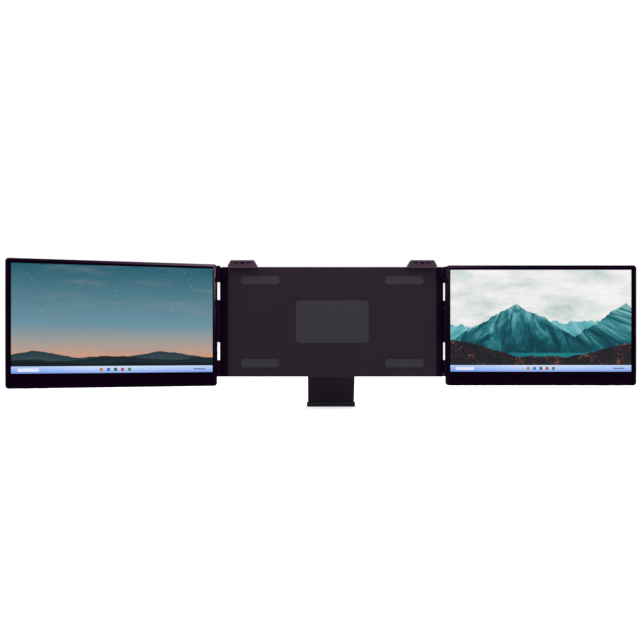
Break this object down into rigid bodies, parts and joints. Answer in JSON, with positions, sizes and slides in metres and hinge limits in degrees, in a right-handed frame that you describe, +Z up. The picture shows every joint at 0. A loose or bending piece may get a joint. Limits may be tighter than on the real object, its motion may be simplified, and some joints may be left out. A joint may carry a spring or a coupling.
{
  "type": "laptop screen extender",
  "caption": "Dual-screen laptop extender: thin displays hinged on a flat bracket that clips onto the laptop's lid from behind, with a telescopic folding leg.",
  "frame": {"origin": "middle of the bracket's front pad face, against which the laptop's lid rests", "axes": "+X to the viewer's right along the row of screens, +Y away from the viewer, +Z up"},
  "size_m": [0.9846, 0.1897, 0.2497],
  "materials": {
    "bezel_plastic": "fine moulded texture, near-black",
    "cover_plastic": "fine moulded texture, near-black",
    "bracket_plastic": "fine moulded texture, near-black",
    "clip_plastic": "satin moulded, dark aubergine grey",
    "button_plastic": "satin",
    "speaker_plastic": "satin",
    "painted_metal": "satin black powder coat",
    "steel": "zinc plated",
    "spring_steel": "drawn wire",
    "port_steel": "nickel plated",
    "screw_black": "black oxide",
    "washer_alloy": "plain",
    "sheet_alloy": "rolled",
    "silicone": "matte",
    "left_display": "lit panel with an evening hill picture",
    "right_display": "lit panel with a forest and cloud picture",
    "light_guide": "frosted",
    "circuit_board": "solder mask",
    "ribbon_film": "polyimide film"
  },
  "bodies": {
    "bracket": {"front_plate": "bracket_plastic", "bracket_cover": "bracket_plastic", "spine_plate": "steel", "lid_pads": "silicone", "plate_screws": "screw_black", "rail_screws": "screw_black", "left_hinge_rail": "painted_metal", "right_hinge_rail": "painted_metal", "left_hinge_pins": "steel", "right_hinge_pins": "steel", "left_hinge_washers": "washer_alloy", "right_hinge_washers": "washer_alloy", "left_clip_spring": "spring_steel", "right_clip_spring": "spring_steel", "stand_bracket": "painted_metal", "stand_screws": "screw_black", "stand_pin": "steel", "stand_washers": "washer_alloy"},
    "stand_leg": {"stand_leg": "painted_metal", "stand_leg_cover": "painted_metal", "foot_friction_springs": "spring_steel"},
    "stand_foot": {"foot_plate": "painted_metal", "foot_sole": "silicone"},
    "left_clip": {"left_clip": "clip_plastic", "left_clip_liner": "silicone"},
    "left_screen": {"left_front_bezel": "bezel_plastic", "left_rear_cover": "cover_plastic", "left_lcd_panel": "left_display", "left_backlight": "light_guide", "left_chassis_sheet": "sheet_alloy", "left_hinge_leaf": "steel", "left_driver_board": "circuit_board", "left_panel_ribbon": "ribbon_film", "left_speakers": "speaker_plastic", "left_ports": "port_steel", "left_cover_screws": "screw_black"},
    "left_power_button": {"left_power_button": "button_plastic"},
    "left_menu_rocker": {"left_menu_rocker": "button_plastic"},
    "right_clip": {"right_clip": "clip_plastic", "right_clip_liner": "silicone"},
    "right_screen": {"right_front_bezel": "bezel_plastic", "right_rear_cover": "cover_plastic", "right_lcd_panel": "right_display", "right_backlight": "light_guide", "right_chassis_sheet": "sheet_alloy", "right_hinge_leaf": "steel", "right_driver_board": "circuit_board", "right_panel_ribbon": "ribbon_film", "right_speakers": "speaker_plastic", "right_ports": "port_steel", "right_cover_screws": "screw_black"},
    "right_power_button": {"right_power_button": "button_plastic"},
    "right_menu_rocker": {"right_menu_rocker": "button_plastic"}
  },
  "joints": [
    {"name": "right_screen_hinge", "type": "hinge", "parent": "bracket", "child": "right_screen", "pos_m": [0.1826, -0.0083, 0], "axis": [0, 0, 1], "range_deg": [-180, 15]},
    {"name": "left_screen_hinge", "type": "hinge", "parent": "bracket", "child": "left_screen", "pos_m": [-0.1826, -0.0176, 0], "axis": [0, 0, -1], "range_deg": [-168.5, 26.5]},
    {"name": "stand_fold", "type": "hinge", "parent": "bracket", "child": "stand_leg", "pos_m": [0, 0.0176, 0.06], "axis": [1, 0, 0], "range_deg": [-22, 23]},
    {"name": "stand_extend", "type": "slide", "parent": "stand_leg", "child": "stand_foot", "axis": [0, 0.3746, -0.9272], "range_m": [-0.065, 0.025]},
    {"name": "left_clip_slide", "type": "slide", "parent": "bracket", "child": "left_clip", "axis": [0, 0, 1], "range_m": [0, 0.03], "stiffness_N_per_m": 200, "springref_m": -0.015, "deforming": ["left_clip_spring"]},
    {"name": "left_power_press", "type": "slide", "parent": "left_screen", "child": "left_power_button", "axis": [0, 0, 1], "range_m": [0, 0.0005], "stiffness_N_per_m": 600},
    {"name": "left_menu_rock", "type": "hinge", "parent": "left_screen", "child": "left_menu_rocker", "pos_m": [-0.44064, -0.06346, -0.1014], "axis": [-0.1994, 0.9799, 0], "range_deg": [-3, 3], "stiffness_Nm_per_rad": 0.06},
    {"name": "right_clip_slide", "type": "slide", "parent": "bracket", "child": "right_clip", "axis": [0, 0, 1], "range_m": [0, 0.03], "stiffness_N_per_m": 200, "springref_m": -0.015, "deforming": ["right_clip_spring"]},
    {"name": "right_power_press", "type": "slide", "parent": "right_screen", "child": "right_power_button", "axis": [0, 0, 1], "range_m": [0, 0.0005], "stiffness_N_per_m": 600},
    {"name": "right_menu_rock", "type": "hinge", "parent": "right_screen", "child": "right_menu_rocker", "pos_m": [0.4446, -0.0018, -0.1014], "axis": [0, 1, 0], "range_deg": [-3, 3], "stiffness_Nm_per_rad": 0.06}
  ]
}
